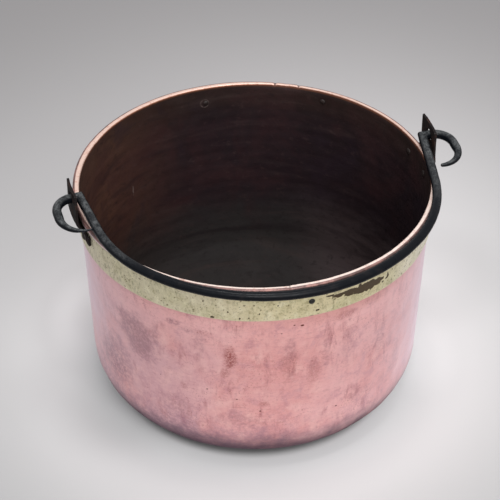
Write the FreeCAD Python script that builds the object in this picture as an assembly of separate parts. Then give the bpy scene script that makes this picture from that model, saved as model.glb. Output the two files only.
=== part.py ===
import FreeCAD, Part
import math
import os

# Driving dimensions in millimetres and degrees
# Origin at the middle of the flat base, +Z up, ears on the X axis, bail folded to -Y

# Copper vessel
mouth_radius = 180.0
pot_height = 250.0
wall = 2.0
wall_lean = 2.6
base_corner_radius = 58.0
lip_skirt = 6.0

# Brass band under the folded lip
band_width = 40.0
band_thickness = 2.5
band_edge_bevel = 0.6

# Iron rod of the bail
rod_radius = 5.0
arm_lift = 10.0
lip_gap = 0.5
crown_drop = 4.0
elbow_inset = 3.0
left_shoulder_angle = 38.0
left_arm_flare = 6.0
right_shoulder_angle = 50.0
right_arm_flare = 10.5

# Hooked ends of the bail
left_hook_radius = 19.0
left_hook_run = 9.0
left_curl_radius = 23.0
left_curl_turn = 103.0
left_tip_radius = 1.0
right_hook_radius = 19.0
right_hook_run = 9.0
right_curl_radius = 22.0
right_curl_turn = 96.0
right_tip_radius = 2.2

# Iron ears riveted to the band
ear_thickness = 3.0
ear_width = 36.0
ear_rim = 7.0
right_ear_back_rise = 3.0
ear_side_gap = 1.5
ear_hole_clearance = 1.0
ear_seat_gap = 0.3
ear_corner_round = 1.0
wing_span = 64.0
wing_depth = 18.0
wing_notch = 3.0
wing_flare_radius = 16.0
jog_below_lip = 1.0
jog_height = 7.0

# Rivets that hold the ears; a flat clinch stands off the hollow wall by its relief
clinch_relief = 0.06
ear_rivet_radius = 2.0
ear_rivet_head_radius = 4.0
ear_rivet_head_flat = 1.8
ear_rivet_head_edge = 0.8
ear_rivet_head_height = 2.2
ear_rivet_inset = 10.0
ear_rivet_clinch_radius = 4.0
ear_rivet_clinch_height = 1.0

# Rivets that hold the band between the ears
band_rivet_radius = 2.0
band_rivet_head_radius = 3.2
band_rivet_head_flat = 1.4
band_rivet_head_edge = 0.6
band_rivet_head_height = 1.6
band_rivet_clinch_radius = 4.5
band_rivet_clinch_height = 0.8
front_rivet_drop = 22.5
back_rivet_drop = 20.0
back_right_rivet_drop = 13.0
back_right_rivet_angle = 42.0

# Places that follow from the driving dimensions
wall_radius = mouth_radius + wall
band_radius = wall_radius + band_thickness
lip_radius = band_radius + wall
band_top = pot_height - wall
band_bottom = band_top - band_width
skirt_bottom = pot_height - lip_skirt
pivot_rise = rod_radius + arm_lift
pivot_height = pot_height + pivot_rise
crown_reach = lip_radius + lip_gap + rod_radius
crown_radius = math.hypot(crown_reach, pivot_rise + crown_drop)
rest_tilt = math.degrees(math.atan2(pivot_rise + crown_drop, crown_reach))
elbow_reach = lip_radius - elbow_inset
ear_inside = elbow_reach + rod_radius + ear_side_gap
ear_outside = ear_inside + ear_thickness
ear_hole_radius = rod_radius + ear_hole_clearance
ear_top = pivot_height + ear_hole_radius + ear_rim
hook_start = ear_inside + ear_thickness / 2
jog_top = skirt_bottom - jog_below_lip
foot_top = jog_top - jog_height
wing_tip = jog_top - wing_depth
ear_rivet_offset = wing_span / 2 - ear_rivet_inset
ear_rivet_height = (foot_top + wing_tip + wing_notch) / 2


def vec(x, y, z):
    return FreeCAD.Vector(x, y, z)


def segment(start, end):
    return Part.makeLine(start, end)


def arc(centre, radius, start_angle, end_angle, place):
    """Arc edge in a plane; place turns two coordinates into a point."""
    def point(angle):
        turn = math.radians(angle)
        return place(centre[0] + radius * math.cos(turn), centre[1] + radius * math.sin(turn))
    middle = (start_angle + end_angle) / 2
    return Part.Arc(point(start_angle), point(middle), point(end_angle)).toShape()


def outline(corners, place):
    """Closed polygon face through corners given as pairs of coordinates."""
    points = [place(a, b) for a, b in corners]
    return Part.Face(Part.makePolygon(points + [points[0]]))


def section_plane(r, z):
    return vec(r, 0, z)


def bail_plane(u, v):
    return vec(u, -v, 0)


def ear_face_plane(v, z):
    return vec(0, -v, z)


# Surfaces that follow the leaning side wall
def wall_outside(height):
    """Radius of the copper wall's outer face at a height."""
    return wall_radius - (band_top - height) * math.tan(math.radians(wall_lean))


def inside_offset():
    """How far the inner face lies from the outer one, measured level."""
    return wall / math.cos(math.radians(wall_lean))


# Copper vessel: raised side wall, round corner, flat base and a lip folded over the band
def base_and_corner(inset):
    """Edges from the axis along the base and round the corner, inset from the outside."""
    lean = math.radians(wall_lean)
    centre = (wall_outside(base_corner_radius) - base_corner_radius / math.cos(lean), base_corner_radius)
    base = segment(vec(0, 0, inset), vec(centre[0], 0, inset))
    corner = arc(centre, base_corner_radius - inset, -90, -wall_lean, section_plane)
    return base, corner


def rolled_corner(radius, start_angle, end_angle):
    """Bend of the lip over one upper corner of the band."""
    return arc((radius, band_top), wall, start_angle, end_angle, section_plane)


def vessel_section():
    """Half section of the copper sheet, from the base to the folded lip."""
    base_out, corner_out = base_and_corner(0)
    base_in, corner_in = base_and_corner(wall)
    outer_roll = rolled_corner(band_radius, -wall_lean, 90)
    inner_roll = rolled_corner(wall_radius, 90, 180 - wall_lean)
    band_edge = vec(wall_radius, 0, band_top)
    band_shoulder = vec(band_radius, 0, band_top)
    skirt_foot = wall_outside(skirt_bottom) + band_thickness
    skirt_inner = vec(skirt_foot, 0, skirt_bottom)
    skirt_outer = vec(skirt_foot + inside_offset(), 0, skirt_bottom)
    edges = [
        base_out,
        corner_out,
        segment(corner_out.Vertexes[1].Point, band_edge),
        segment(band_edge, band_shoulder),
        segment(band_shoulder, skirt_inner),
        segment(skirt_inner, skirt_outer),
        segment(skirt_outer, outer_roll.Vertexes[0].Point),
        outer_roll,
        segment(vec(band_radius, 0, pot_height), vec(wall_radius, 0, pot_height)),
        inner_roll,
        segment(inner_roll.Vertexes[1].Point, corner_in.Vertexes[1].Point),
        corner_in,
        base_in,
        segment(vec(0, 0, wall), vec(0, 0, 0)),
    ]
    return Part.Face(Part.Wire(Part.__sortEdges__(edges)))


def make_vessel(rivet_holes):
    body = vessel_section().revolve(vec(0, 0, 0), vec(0, 0, 1), 360)
    return body.cut(rivet_holes)


# Brass band: a hoop that follows the wall, its top edge inside the folded lip
def make_band(rivet_holes):
    low = wall_outside(band_bottom)
    low_outer = low + band_thickness
    corners = [
        (wall_radius, band_top),
        (band_radius, band_top),
        (wall_outside(band_bottom + band_edge_bevel) + band_thickness, band_bottom + band_edge_bevel),
        (low_outer - band_edge_bevel, band_bottom),
        (low, band_bottom),
    ]
    hoop = outline(corners, section_plane).revolve(vec(0, 0, 0), vec(0, 0, 1), 360)
    return hoop.cut(rivet_holes)


# Iron ears: an upright plate with the pivot hole, a jog under the lip and two riveted wings
def ear_side_ring():
    """The ear's side section, turned all round the pot: upright, jog, and a foot on the band."""
    top = ear_top + right_ear_back_rise
    foot = band_thickness
    corners = [
        (ear_inside, top),
        (ear_outside, top),
        (ear_outside, jog_top),
        (wall_outside(foot_top) + foot + ear_thickness, foot_top),
        (wall_outside(wing_tip) + foot + ear_thickness, wing_tip),
        (wall_outside(wing_tip) + foot, wing_tip),
        (wall_outside(foot_top) + foot, foot_top),
        (ear_inside, jog_top),
    ]
    return outline(corners, section_plane).revolve(vec(0, 0, 0), vec(0, 0, 1), 360)


def ear_front_outline(back_rise):
    """The ear seen from outside: upright blade, flared shoulders and a notched foot."""
    half = ear_width / 2
    half_wing = wing_span / 2
    centre = (half + wing_flare_radius, foot_top + wing_flare_radius)
    wing_drop = wing_flare_radius - (half_wing - half)
    sweep = math.degrees(math.acos(wing_drop / wing_flare_radius))
    flare_end = centre[1] - wing_flare_radius * math.sin(math.radians(sweep))
    notch_top = wing_tip + wing_notch
    place = ear_face_plane
    notch = Part.Arc(place(half_wing, wing_tip), place(0, notch_top), place(-half_wing, wing_tip)).toShape()
    edges = [
        segment(place(-half, ear_top + back_rise), place(half, ear_top)),
        segment(place(half, ear_top), place(half, centre[1])),
        arc(centre, wing_flare_radius, 180, 180 + sweep, place),
        segment(place(half_wing, flare_end), place(half_wing, wing_tip)),
        notch,
        segment(place(-half_wing, wing_tip), place(-half_wing, flare_end)),
        arc((-centre[0], centre[1]), wing_flare_radius, -sweep, 0, place),
        segment(place(-half, centre[1]), place(-half, ear_top + back_rise)),
    ]
    return Part.Face(Part.Wire(edges))


def top_corners(ear):
    """Edges of the two upper corners, which run through the plate."""
    found = []
    for edge in ear.Edges:
        box = edge.BoundBox
        if box.ZMin > pivot_height + ear_hole_radius and box.YLength < ear_thickness / 2:
            if box.XLength > ear_thickness / 2:
                found.append(edge)
    return found


def make_ear(rivet_holes, back_rise):
    """One ear on the +X side, with its pivot hole and rivet holes."""
    reach = ear_outside + ear_thickness
    plate = ear_front_outline(back_rise).extrude(vec(reach, 0, 0))
    ear = plate.common(ear_side_ring())
    ear = ear.makeFillet(ear_corner_round, top_corners(ear))
    hole_height = pivot_height + ear_hole_clearance - ear_seat_gap
    hole = Part.makeCylinder(ear_hole_radius, reach, vec(0, 0, hole_height), vec(1, 0, 0))
    return ear.cut(hole).cut(rivet_holes)


# Rivets: a hammered button head outside, a shank, and an end clinched flat inside the wall
def set_in_wall(shape, height):
    """Turns a shape made along +X square to the leaning wall and moves it to the wall's face."""
    shape.rotate(vec(0, 0, 0), vec(0, 1, 0), wall_lean)
    shape.translate(vec(wall_outside(height), 0, height))
    return shape


def rivet_hole(radius, height):
    """Straight hole on the +X side, square to the wall, through wall, band and ear."""
    grip = wall + band_thickness + ear_thickness
    hole = Part.makeCylinder(radius, 2 * grip, vec(-grip, 0, 0), vec(1, 0, 0))
    return set_in_wall(hole, height)


def make_rivet(radius, head, clinch, seat_offset, height):
    """One rivet on the +X side; head and clinch are their sizes, seat_offset is what lies on the wall."""
    head_radius, head_flat, head_edge, head_height = head
    clinch_radius, clinch_height = clinch
    seat = seat_offset * math.cos(math.radians(wall_lean))
    inner_face = -wall - clinch_relief
    corners = [
        (inner_face - clinch_height, 0),
        (inner_face - clinch_height, clinch_radius),
        (inner_face, clinch_radius),
        (inner_face, radius),
        (seat, radius),
        (seat, head_radius),
        (seat + head_edge, head_radius),
        (seat + head_height, head_flat),
        (seat + head_height, 0),
    ]
    rivet = outline(corners, section_plane).revolve(vec(0, 0, 0), vec(1, 0, 0), 360)
    return set_in_wall(rivet, height)


def turned(shape, angle):
    """A copy of a shape turned about the pot's axis."""
    copy = shape.copy()
    copy.rotate(vec(0, 0, 0), vec(0, 0, 1), angle)
    return copy


# Bail: one forged rod, a hoop over the mouth with mitred elbows, journals in the ears and hooks
def shoulder_arc(shoulder_angle, arm_flare):
    """Centre and radius of the arc between the front hoop and a straight arm."""
    alpha = math.radians(shoulder_angle)
    beta = math.radians(arm_flare)
    front_share = math.cos(alpha) + math.sin(alpha) * math.tan(beta)
    arm_share = 1 / math.cos(beta)
    radius = (elbow_reach - crown_radius * front_share) / (arm_share - front_share)
    centre = ((crown_radius - radius) * math.cos(alpha), (crown_radius - radius) * math.sin(alpha))
    return centre, radius


def arm_end(shoulder_angle, arm_flare):
    """Where the shoulder arc meets the straight arm."""
    centre, radius = shoulder_arc(shoulder_angle, arm_flare)
    beta = math.radians(arm_flare)
    return centre[0] + radius * math.cos(beta), centre[1] + radius * math.sin(beta)


def swept_rod(edges, start, direction):
    """Round rod of constant thickness along a path in the bail's plane."""
    section = Part.Wire(Part.makeCircle(rod_radius, start, direction))
    pipe = Part.BRepOffsetAPI.MakePipeShell(Part.Wire(edges))
    pipe.setTransitionMode(1)
    pipe.add(section)
    pipe.build()
    pipe.makeSolid()
    return pipe.shape()


def tapered_rod(edge, start, end, end_radius):
    """Rod along one arc that thins to its tip; start and end are places and directions."""
    pipe = Part.BRepOffsetAPI.MakePipeShell(Part.Wire([edge]))
    pipe.add(Part.Wire(Part.makeCircle(rod_radius, start[0], start[1])))
    pipe.add(Part.Wire(Part.makeCircle(end_radius, end[0], end[1])))
    pipe.build()
    pipe.makeSolid()
    return pipe.shape()


def half_hoop(shoulder_angle, arm_flare):
    """Rod from the straight arm round the shoulder to the middle of the front, on the +X side."""
    arm_u, arm_v = arm_end(shoulder_angle, arm_flare)
    centre, radius = shoulder_arc(shoulder_angle, arm_flare)
    shoulder = arc(centre, radius, arm_flare, shoulder_angle, bail_plane)
    front = arc((0, 0), crown_radius, shoulder_angle, 90, bail_plane)
    up_arm = bail_plane(arm_u - elbow_reach, arm_v)
    return swept_rod([shoulder, front], bail_plane(arm_u, arm_v), up_arm)


def elbow_and_journal(shoulder_angle, arm_flare):
    """Straight arm, mitred elbow and the journal that turns in the ear."""
    arm_u, arm_v = arm_end(shoulder_angle, arm_flare)
    arm_top = bail_plane(arm_u, arm_v)
    elbow = bail_plane(elbow_reach, 0)
    runs = [segment(arm_top, elbow), segment(elbow, bail_plane(hook_start, 0))]
    return swept_rod(runs, arm_top, elbow.sub(arm_top))


def hook_and_tip(hook_radius, hook_run, curl_radius, curl_turn, tip_radius):
    """The hook outside the ear: a bend, a short run, and a curl that tapers to its tip."""
    hook_side = hook_start + hook_radius
    run_height = hook_radius + hook_run
    bend = arc((hook_start, hook_radius), hook_radius, -90, 0, bail_plane)
    run_end = bail_plane(hook_side, run_height)
    run = segment(bail_plane(hook_side, hook_radius), run_end)
    hook = swept_rod([bend, run], bail_plane(hook_start, 0), vec(1, 0, 0))
    turn = math.radians(curl_turn)
    curl = arc((hook_side - curl_radius, run_height), curl_radius, 0, curl_turn, bail_plane)
    tip = curl.Vertexes[1].Point
    tip_direction = bail_plane(-math.sin(turn), math.cos(turn))
    point = tapered_rod(curl, (run_end, vec(0, -1, 0)), (tip, tip_direction), tip_radius)
    return [hook, point, Part.makeSphere(tip_radius, tip)]


def make_bail():
    """The whole rod, folded down to the front."""
    right = half_hoop(right_shoulder_angle, right_arm_flare)
    right = right.fuse(elbow_and_journal(right_shoulder_angle, right_arm_flare))
    right = right.fuse(hook_and_tip(right_hook_radius, right_hook_run, right_curl_radius,
                                    right_curl_turn, right_tip_radius))
    left = half_hoop(left_shoulder_angle, left_arm_flare)
    left = left.fuse(elbow_and_journal(left_shoulder_angle, left_arm_flare))
    left = left.fuse(hook_and_tip(left_hook_radius, left_hook_run, left_curl_radius,
                                  left_curl_turn, left_tip_radius))
    bail = right.fuse(mirrored(left)).removeSplitter()
    bail.rotate(vec(0, 0, 0), vec(1, 0, 0), rest_tilt)
    bail.translate(vec(0, 0, pivot_height))
    return bail


def mirrored(shape):
    """The same piece on the other side of the pot."""
    return shape.mirror(vec(0, 0, 0), vec(1, 0, 0))


# Assembly: every piece in its own place
def ear_rivet_spread():
    """Angle about the pot's axis between an ear's middle and each of its rivets."""
    return math.degrees(math.asin(ear_rivet_offset / band_radius))


def band_rivet_places():
    """Name, angle about the axis and height of each rivet between the ears."""
    return [
        ("band_rivet_front", -90, pot_height - front_rivet_drop),
        ("band_rivet_back", 90, pot_height - back_rivet_drop),
        ("band_rivet_back_right", 90 - back_right_rivet_angle, pot_height - back_right_rivet_drop),
    ]


def build_rivets():
    parts = {}
    spread = ear_rivet_spread()
    head = (ear_rivet_head_radius, ear_rivet_head_flat, ear_rivet_head_edge, ear_rivet_head_height)
    clinch = (ear_rivet_clinch_radius, ear_rivet_clinch_height)
    rivet = make_rivet(ear_rivet_radius, head, clinch, band_thickness + ear_thickness, ear_rivet_height)
    for place, angle in (("front", -spread), ("back", spread)):
        parts["ear_rivet_right_" + place] = turned(rivet, angle)
        parts["ear_rivet_left_" + place] = mirrored(turned(rivet, angle))
    head = (band_rivet_head_radius, band_rivet_head_flat, band_rivet_head_edge, band_rivet_head_height)
    clinch = (band_rivet_clinch_radius, band_rivet_clinch_height)
    for name, angle, height in band_rivet_places():
        rivet = make_rivet(band_rivet_radius, head, clinch, band_thickness, height)
        parts[name] = turned(rivet, angle)
    return parts


def build_parts():
    spread = ear_rivet_spread()
    ear_hole = rivet_hole(ear_rivet_radius, ear_rivet_height)
    ear_holes = [turned(ear_hole, -spread), turned(ear_hole, spread)]
    band_holes = [turned(rivet_hole(band_rivet_radius, height), angle)
                  for name, angle, height in band_rivet_places()]
    holes = ear_holes + [mirrored(hole) for hole in ear_holes] + band_holes
    parts = {
        "copper_vessel": make_vessel(holes),
        "brass_band": make_band(holes),
        "ear_right": make_ear(ear_holes, right_ear_back_rise),
        "ear_left": mirrored(make_ear(ear_holes, 0)),
        "bail": make_bail(),
    }
    parts.update(build_rivets())
    return parts


os.makedirs("parts", exist_ok=True)
for name, shape in build_parts().items():
    solid = shape.Solids[0]
    solid.exportStep("parts/" + name + ".step")
    print(name, len(shape.Solids), shape.isValid(), round(solid.Volume))
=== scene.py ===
import math

import bmesh
import bpy
import numpy as np
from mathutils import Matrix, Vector, noise


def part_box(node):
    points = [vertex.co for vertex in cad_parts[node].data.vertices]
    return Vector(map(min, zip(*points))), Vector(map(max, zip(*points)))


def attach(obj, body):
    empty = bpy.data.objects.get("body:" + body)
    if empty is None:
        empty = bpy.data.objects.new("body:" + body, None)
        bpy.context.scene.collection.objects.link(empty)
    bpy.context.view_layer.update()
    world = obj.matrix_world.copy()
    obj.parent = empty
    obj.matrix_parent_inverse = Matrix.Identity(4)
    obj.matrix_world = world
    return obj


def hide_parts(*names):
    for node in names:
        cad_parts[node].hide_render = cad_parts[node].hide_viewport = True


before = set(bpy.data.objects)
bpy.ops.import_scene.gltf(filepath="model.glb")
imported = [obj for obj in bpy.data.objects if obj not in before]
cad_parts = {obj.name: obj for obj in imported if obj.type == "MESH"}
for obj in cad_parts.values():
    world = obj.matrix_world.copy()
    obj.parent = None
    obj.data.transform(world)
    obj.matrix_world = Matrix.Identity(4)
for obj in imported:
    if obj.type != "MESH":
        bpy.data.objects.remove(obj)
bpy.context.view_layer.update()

# Copper vessel: one sheet raised with hammers into a deep pot with a flat base and a round corner.
# Its mouth is folded outward and down over the brass band. The outside is scoured pink,
# the inside is left dark with smoke and use.
mouth_radius = 0.180
pot_height = 0.250
copper_wall = 0.002
wall_lean = math.radians(2.6)
corner_radius = 0.058
lip_skirt = 0.006
band_thickness = 0.0025
lip_wander = 0.0004
wall_radius = mouth_radius + copper_wall
band_radius = wall_radius + band_thickness
band_top = pot_height - copper_wall
around_count = 390

# Nicks along the fold: angle in degrees, half width and depth in metres; the deepest is darkest
lip_nicks = [(-96.8, 0.0030, 0.0007), (-95.2, 0.0040, 0.0003), (65.5, 0.0022, 0.0009),
             (57.3, 0.0018, 0.0008), (62.0, 0.0060, 0.0003), (-60.0, 0.0050, 0.0004),
             (140.0, 0.0040, 0.0004), (12.0, 0.0030, 0.0004)]
deep_nick = 0.0009
# The fold's inner side is worn thin from one angle to another, eased in and out over some degrees.
# About a second stretch, given by its middle, half length and the share of it that is level, the
# fold is slim on both sides. Angles in degrees, losses in metres.
thin_lip = (195.0, 263.2)
thin_lip_ease = (25, 1)
thin_lip_loss = 0.0012
slim_lip = (25.0, 60.0)
slim_lip_core = 0.6
slim_lip_loss = 0.0020
# Courses, the rings that each round of hammering leaves inside: spacing and depth in metres
course_height = 0.0135
course_depth = 0.00012
# Where things begin and end on the sheet, each from one value to another: the fold and the outer
# wall's hammer marks by height, the fold's inner side, the inner wall's hammer marks and the
# courses by the way inward along the section from the top of the inner wall
fold_rise = (pot_height - 0.004, pot_height - 0.001)
outer_rise, outer_fall = (0.002, 0.012), (0.190, 0.206)
inner_side_rise = (-0.006, 0.001)
inner_rise = (0.006, 0.02)
course_rise, course_fall = (0.012, 0.03), (0.235, 0.25)


def wall_outside(height):
    """Radius of the leaning wall's outer face at a height."""
    return wall_radius - (band_top - height) * math.tan(wall_lean)


def run_to(section, end, step):
    """Carries a section on in a straight line, with a point about every step."""
    start = np.array(section[-1])
    count = max(1, round(float(np.linalg.norm(np.array(end) - start)) / step))
    section += [tuple(start + (np.array(end) - start) * i / count) for i in range(1, count + 1)]


def bend_round(section, centre, radius, first, last, step):
    """Carries a section on round an arc whose angles are in radians."""
    count = max(2, round(abs(last - first) * radius / step))
    for i in range(1, count + 1):
        angle = first + (last - first) * i / count
        section.append((centre[0] + radius * math.cos(angle), centre[1] + radius * math.sin(angle)))


def turns(count):
    """Angles of evenly spaced columns round the pot."""
    return np.arange(count) * 2 * math.pi / count


def spun_section(section, count):
    """Radii and heights of a section's points, repeated for each column round the pot."""
    path = np.array(section)
    return path[:, :1] * np.ones(count), path[:, 1:] * np.ones(count)


def turned_mesh(name, radii, heights, on_axis):
    """Mesh of rings about the Z axis; rows follow the section, columns go round.
    With on_axis the first and last rows shrink to a point each, otherwise the section closes."""
    rows, columns = radii.shape
    turn = turns(columns)
    points = np.stack([radii * np.cos(turn), radii * np.sin(turn), heights], axis=2).reshape(-1, 3)
    faces = []
    last_row = rows - 1 if on_axis else rows
    for i in range(last_row):
        low, high = i * columns, (i + 1) % rows * columns
        for j in range(columns):
            k = (j + 1) % columns
            faces.append((low + j, low + k, high + k, high + j))
    mesh = bpy.data.meshes.new(name)
    mesh.from_pydata(points.tolist(), [], faces)
    if on_axis:
        merged = bmesh.new()
        merged.from_mesh(mesh)
        merged.verts.ensure_lookup_table()
        ends = list(merged.verts[:columns]) + list(merged.verts[-columns:])
        bmesh.ops.remove_doubles(merged, verts=ends, dist=1e-7)
        merged.to_mesh(mesh)
        merged.free()
    return mesh


def give(mesh, name, values):
    """Stores one number for each point of a mesh."""
    stored = mesh.attributes.new(name, "FLOAT", "POINT")
    stored.data.foreach_set("value", np.asarray(values, np.float32).ravel())


def smooth_step(value, low, high):
    """Rises smoothly from 0 at low to 1 at high."""
    t = np.clip((value - low) / (high - low), 0, 1)
    return t * t * (3 - 2 * t)


def within(value, rise, fall):
    """1 between a rise and a fall, 0 outside; each of them runs from one value to another."""
    return smooth_step(value, *rise) * (1 - smooth_step(value, *fall))


def vessel_section():
    """Points from the base's middle, up the outside, over the fold and down the inside, and the
    number of the point where the inner wall begins."""
    base_step, wall_step, covered_step = 0.006, 0.0029, 0.009
    skirt_step, back_step, edge_step, crest_step, bend_step = 0.0012, 0.002, 0.0007, 0.0008, 0.0004
    covered_height = 0.045
    covered_from = band_top - covered_height
    corner = (wall_outside(corner_radius) - corner_radius / math.cos(wall_lean), corner_radius)
    inner_corner = corner_radius - copper_wall
    skirt_bottom = pot_height - lip_skirt
    skirt_inner = wall_outside(skirt_bottom) + band_thickness
    section = [(0.0, 0.0)]
    run_to(section, (corner[0], 0.0), base_step)
    bend_round(section, corner, corner_radius, -math.pi / 2, -wall_lean, wall_step)
    run_to(section, (wall_outside(covered_from), covered_from), wall_step)
    run_to(section, (wall_radius, band_top), covered_step)
    run_to(section, (band_radius, band_top), skirt_step)
    run_to(section, (skirt_inner, skirt_bottom), back_step)
    run_to(section, (skirt_inner + copper_wall, skirt_bottom), edge_step)
    run_to(section, (band_radius + copper_wall * math.cos(wall_lean), band_top), skirt_step)
    bend_round(section, (band_radius, band_top), copper_wall, -wall_lean, math.pi / 2, bend_step)
    run_to(section, (wall_radius, pot_height), crest_step)
    bend_round(section, (wall_radius, band_top), copper_wall,
               math.pi / 2, math.pi - wall_lean, bend_step)
    wall_start = len(section) - 1
    run_to(section, (corner[0] + inner_corner * math.cos(wall_lean),
                     corner[1] - inner_corner * math.sin(wall_lean)), wall_step)
    bend_round(section, corner, inner_corner, -wall_lean, -math.pi / 2, wall_step)
    run_to(section, (0.0, copper_wall), base_step)
    return section, wall_start


def lip_wave(turn, seed):
    """Slow unevenness of a hand-folded edge round the pot, about -1 to 1."""
    chance = np.random.default_rng(seed)
    wave = np.zeros_like(turn)
    for beats in (2, 3, 5, 9, 17, 31, 53):
        swing = np.cos(beats * turn + chance.uniform(0, 2 * math.pi))
        wave += swing * chance.uniform(0.4, 1) / beats ** 0.45
    return wave / 2.2


def vessel_mesh():
    """The sheet: its fold wavy, nicked and uneven in width, its inner wall in faint courses. Each
    point stores the way inward along the section, how far it was struck and how far nicked."""
    section, wall_start = vessel_section()
    radii, heights = spun_section(section, around_count)
    turn = turns(around_count)
    fold = smooth_step(heights, *fold_rise)
    heights -= fold * lip_wander * (1 + lip_wave(turn, 3))
    radii += fold * lip_wander * lip_wave(turn, 5)
    nicked = np.zeros_like(heights)
    for degrees, width, depth in lip_nicks:
        off = np.abs((turn - math.radians(degrees) + math.pi) % (2 * math.pi) - math.pi)
        nick = fold * (1 - smooth_step(off * mouth_radius, 0, width))
        heights -= depth * nick
        nicked = np.maximum(nicked, nick * depth / deep_nick)
    steps = np.linalg.norm(np.diff(np.array(section), axis=0), axis=1)
    along = np.concatenate([[0], np.cumsum(steps)])
    inward = (along - along[wall_start])[:, None] * np.ones(around_count)
    inner_side = smooth_step(inward, *inner_side_rise)
    spun = np.degrees(turn)
    thin_from, thin_to = thin_lip
    pinched = within(spun, (thin_from, thin_from + thin_lip_ease[0]),
                     (thin_to - thin_lip_ease[1], thin_to))
    radii += fold * inner_side * pinched * thin_lip_loss
    slim_middle, slim_half = slim_lip
    off = np.abs((spun - slim_middle + 180) % 360 - 180)
    slimmed = 1 - smooth_step(off, slim_half * slim_lip_core, slim_half)
    radii += fold * (inner_side - 0.5) * slimmed * slim_lip_loss
    courses = np.sin(inward / course_height * 2 * math.pi + lip_wave(turn, 7) * 0.8)
    radii += within(inward, course_rise, course_fall) * courses * course_depth
    outer_wall = within(heights, outer_rise, outer_fall)
    inner_wall = smooth_step(inward, *inner_rise)
    struck = np.where(inward < 0, outer_wall, inner_wall)
    mesh = turned_mesh("copper_pot", radii, heights, on_axis=True)
    full_rings = slice(around_count, -around_count)
    for name, values in (("inward", inward), ("struck", struck), ("nicked", nicked)):
        flat = values.ravel()
        give(mesh, name, np.concatenate([[flat[0]], flat[full_rings], [flat[-1]]]))
    return mesh


def feed(tree, node, inputs):
    """Gives a node's sockets, by name or number, a value or another node's output."""
    for key, value in inputs.items():
        if isinstance(value, bpy.types.NodeSocket):
            tree.links.new(value, node.inputs[key])
        else:
            node.inputs[key].default_value = value


def add(tree, kind, inputs=None, **settings):
    """A new node with its settings and inputs."""
    made = tree.nodes.new(kind)
    for name, value in settings.items():
        setattr(made, name, value)
    feed(tree, made, inputs or {})
    return made


def maths(tree, operation, first, second=0.0, third=0.0):
    """One sum on up to three fields or numbers."""
    inputs = {0: first, 1: second, 2: third}
    return add(tree, "ShaderNodeMath", inputs, operation=operation).outputs[0]


def times(tree, first, second):
    """Two fields or numbers multiplied."""
    return maths(tree, "MULTIPLY", first, second)


def vectors(tree, operation, first, second):
    """One sum on two vectors."""
    inputs = {0: first, 1: second}
    return add(tree, "ShaderNodeVectorMath", inputs, operation=operation).outputs[0]


def geometry_tree(name, sizes):
    """An empty Geometry Nodes tree with a mesh in and out and one named input for each size."""
    tree = bpy.data.node_groups.new(name, "GeometryNodeTree")
    tree.interface.new_socket("Geometry", in_out="INPUT", socket_type="NodeSocketGeometry")
    for label, kind in sizes:
        tree.interface.new_socket(label, in_out="INPUT", socket_type=kind)
    tree.interface.new_socket("Geometry", in_out="OUTPUT", socket_type="NodeSocketGeometry")
    return tree, add(tree, "NodeGroupInput").outputs


def end_tree(tree, geometry, material):
    """Every tree ends with its copies made real and its material set."""
    real = add(tree, "GeometryNodeRealizeInstances", {0: geometry})
    smooth = add(tree, "GeometryNodeSetShadeSmooth", {0: real.outputs[0]})
    dressed = add(tree, "GeometryNodeSetMaterial", {0: smooth.outputs[0], "Material": material})
    add(tree, "NodeGroupOutput", {0: dressed.outputs[0]})


def pushed(tree, geometry, distance):
    """A surface moved along its normal by a field of distances."""
    normal = add(tree, "GeometryNodeInputNormal").outputs[0]
    offset = add(tree, "ShaderNodeVectorMath", {0: normal, "Scale": distance}, operation="SCALE")
    inputs = {"Geometry": geometry, "Offset": offset.outputs[0]}
    return add(tree, "GeometryNodeSetPosition", inputs).outputs[0]


def grown(name, mesh, tree, values, before=None):
    """Runs a tree on a mesh and returns the result as a plain object of its own."""
    source = bpy.data.objects.new(name + "_source", mesh)
    bpy.context.scene.collection.objects.link(source)
    if before:
        before(source)
    modifier = source.modifiers.new("tree", "NODES")
    modifier.node_group = tree
    for item in tree.interface.items_tree:
        if item.in_out == "INPUT" and item.name in values:
            modifier[item.identifier] = values[item.name]
    graph = bpy.context.evaluated_depsgraph_get()
    made = bpy.data.meshes.new_from_object(
        source.evaluated_get(graph), preserve_all_data_layers=True, depsgraph=graph)
    bpy.data.objects.remove(source)
    piece = bpy.data.objects.new(name, made)
    bpy.context.scene.collection.objects.link(piece)
    return piece


def hammered_tree():
    """Round hammer blows side by side over a surface, and slow dents under them."""
    tree, given = geometry_tree("hammer blows", [
        ("Blow Width", "NodeSocketFloat"), ("Blow Depth", "NodeSocketFloat"),
        ("Dent Depth", "NodeSocketFloat"), ("Dent Width", "NodeSocketFloat"),
        ("Material", "NodeSocketMaterial")])
    place = add(tree, "GeometryNodeInputPosition").outputs[0]
    struck = add(tree, "GeometryNodeInputNamedAttribute", {0: "struck"}, data_type="FLOAT")
    blows = add(tree, "ShaderNodeTexVoronoi", {
        "Vector": place, "Scale": maths(tree, "DIVIDE", 1.0, given["Blow Width"])})
    hollow = maths(tree, "SUBTRACT", blows.outputs["Distance"], 0.5)
    dents = add(tree, "ShaderNodeTexNoise", {
        "Vector": place, "Scale": maths(tree, "DIVIDE", 1.0, given["Dent Width"]), "Detail": 1.0})
    swell = maths(tree, "SUBTRACT", dents.outputs[0], 0.5)
    slow = times(tree, swell, given["Dent Depth"])
    lift = maths(tree, "MULTIPLY_ADD", hollow, given["Blow Depth"], slow)
    beaten = pushed(tree, given["Geometry"], times(tree, lift, struck.outputs[0]))
    end_tree(tree, beaten, given["Material"])
    return tree


def surface(name):
    """A new material, its tree, the object coordinates and its shader."""
    material = bpy.data.materials.new(name)
    material.use_nodes = True
    tree = material.node_tree
    shader = tree.nodes["Principled BSDF"]
    place = add(tree, "ShaderNodeTexCoord").outputs["Object"]
    return material, tree, place, shader


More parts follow.
